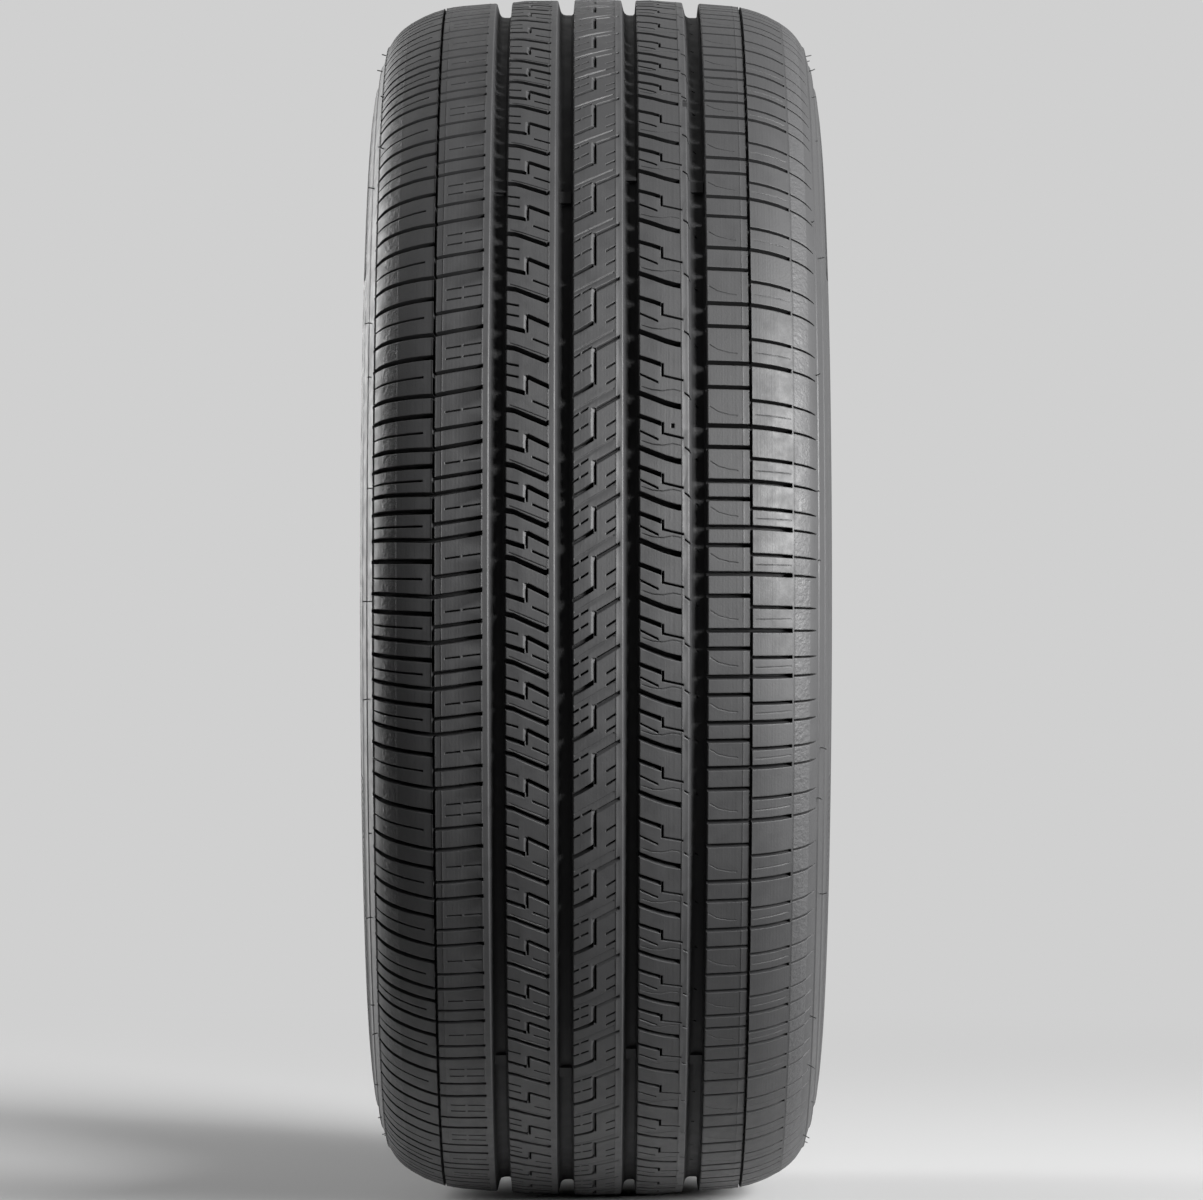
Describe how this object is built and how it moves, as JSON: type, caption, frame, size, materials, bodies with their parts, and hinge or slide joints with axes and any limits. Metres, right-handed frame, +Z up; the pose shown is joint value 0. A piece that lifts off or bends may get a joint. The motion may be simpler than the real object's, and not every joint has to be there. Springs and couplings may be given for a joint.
{
  "type": "car tyre",
  "caption": "Tubeless radial car tyre with wide grooves around its tread, slotted shoulders, rounded sidewalls and bead seats that grip a wheel rim.",
  "frame": {"origin": "centre of the tyre, on its axle line and midway between its beads", "axes": "+Y along the axle, towards the right-hand side of the picture; +Z up; the picture is taken from +X"},
  "size_m": [0.6432, 0.236, 0.6432],
  "materials": {
    "tyre_rubber": "moulded carbon-black rubber, satin"
  },
  "bodies": {
    "root": {"tyre": "tyre_rubber"}
  },
  "joints": []
}
